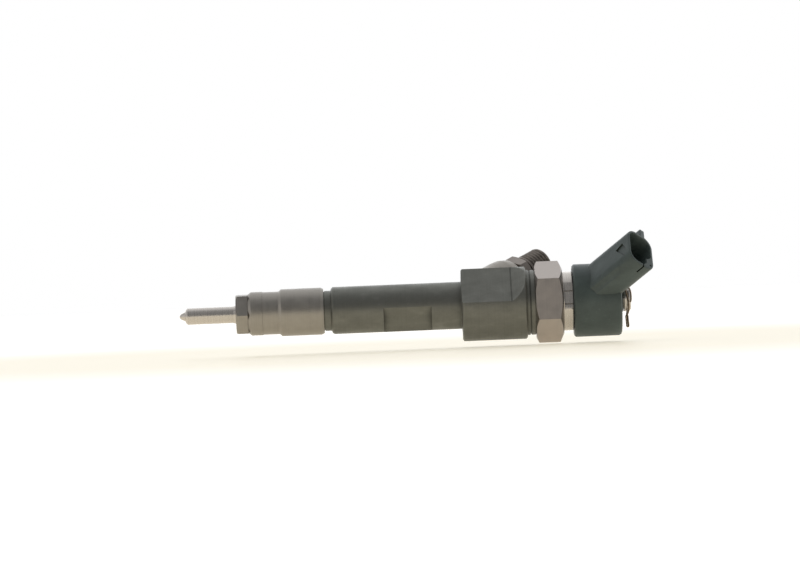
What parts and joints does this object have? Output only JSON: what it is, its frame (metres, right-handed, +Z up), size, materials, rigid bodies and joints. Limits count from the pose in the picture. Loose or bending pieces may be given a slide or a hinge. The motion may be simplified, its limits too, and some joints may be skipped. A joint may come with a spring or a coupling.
{
  "type": "fuel injector",
  "caption": "Slender steel diesel fuel injector with a slanted pressure inlet, a coupling nut, a dark plastic solenoid housing with a slanted connector, and a return spigot with a wire clip.",
  "frame": {"origin": "under the middle of the whole part's box, at its lowest point", "axes": "+X along the injector's axis from the nozzle's tip to the return spigot, +Z up, with the connector leaning towards -Y and the inlet towards +Y"},
  "size_m": [0.2014, 0.0602, 0.0465],
  "materials": {
    "bright_steel": "ground, with fine circular tool marks",
    "satin_steel": "turned, satin",
    "phosphated_steel": "dark grey phosphate coat, matt",
    "warm_steel": "turned, faintly warm satin",
    "hard_steel": "lapped",
    "spring_steel": "drawn wire, oiled",
    "clip_wire": "drawn wire, bronze tint",
    "magnet_iron": "pressed powder iron",
    "seal_copper": "soft annealed copper",
    "winding_copper": "enamelled copper wire",
    "terminal_brass": "tinned brass",
    "housing_plastic": "moulded dark grey-green glass-filled nylon",
    "bobbin_plastic": "moulded natural nylon",
    "seal_rubber": "smooth moulded rubber"
  },
  "bodies": {
    "injector": {"injector_body": "phosphated_steel", "nozzle_body": "bright_steel", "nozzle_nut": "satin_steel", "locating_pin_a": "hard_steel", "locating_pin_b": "hard_steel", "nozzle_spring": "spring_steel", "nozzle_spring_shim": "hard_steel", "inlet_union": "warm_steel", "inlet_seal_ring": "seal_copper", "edge_filter": "hard_steel", "valve_piece": "hard_steel", "valve_seal_ring": "bobbin_plastic", "armature_guide": "satin_steel", "valve_clamp_nut": "satin_steel", "armature_spring": "spring_steel", "valve_spring": "spring_steel", "valve_spring_shim": "hard_steel", "lift_shim": "hard_steel", "magnet_core": "magnet_iron", "coil_bobbin": "bobbin_plastic", "coil_winding": "winding_copper", "magnet_sleeve": "bright_steel", "sleeve_o_ring": "seal_rubber", "solenoid_nut": "warm_steel", "solenoid_housing": "housing_plastic", "terminal_pin_a": "terminal_brass", "terminal_pin_b": "terminal_brass", "return_spigot": "bright_steel"},
    "needle": {"nozzle_needle": "hard_steel", "pressure_pin": "hard_steel"},
    "piston": {"control_piston": "hard_steel"},
    "armature_rod": {"armature_pin": "hard_steel", "armature_c_washer": "spring_steel"},
    "valve_closer": {"valve_ball": "hard_steel", "ball_holder": "hard_steel"},
    "armature": {"armature_plate": "magnet_iron"},
    "clip": {"return_clip": "clip_wire"}
  },
  "joints": [
    {"name": "needle_lift", "type": "slide", "parent": "injector", "child": "needle", "axis": [1, 0, 0], "range_m": [0, 0.00025], "stiffness_N_per_m": 30000, "springref_m": -0.001, "deforming": ["nozzle_spring"]},
    {"name": "piston_lift", "type": "slide", "parent": "injector", "child": "piston", "axis": [1, 0, 0], "range_m": [0, 0.00025]},
    {"name": "valve_lift", "type": "slide", "parent": "injector", "child": "armature_rod", "axis": [1, 0, 0], "range_m": [0, 0.00005], "stiffness_N_per_m": 20000, "springref_m": -0.0015, "deforming": ["valve_spring"]},
    {"name": "ball_lift", "type": "slide", "parent": "injector", "child": "valve_closer", "axis": [1, 0, 0], "range_m": [0, 0.00005]},
    {"name": "armature_overtravel", "type": "slide", "parent": "armature_rod", "child": "armature", "axis": [1, 0, 0], "range_m": [-0.00005, 0], "stiffness_N_per_m": 1500, "springref_m": 0.0005, "deforming": ["armature_spring"]},
    {"name": "clip_pull", "type": "slide", "parent": "injector", "child": "clip", "axis": [0, 0, -1], "range_m": [0, 0.004]}
  ],
  "couplings": [
    {"joint": "piston_lift", "follows": "needle_lift", "ratio": 1},
    {"joint": "ball_lift", "follows": "valve_lift", "ratio": 1}
  ]
}
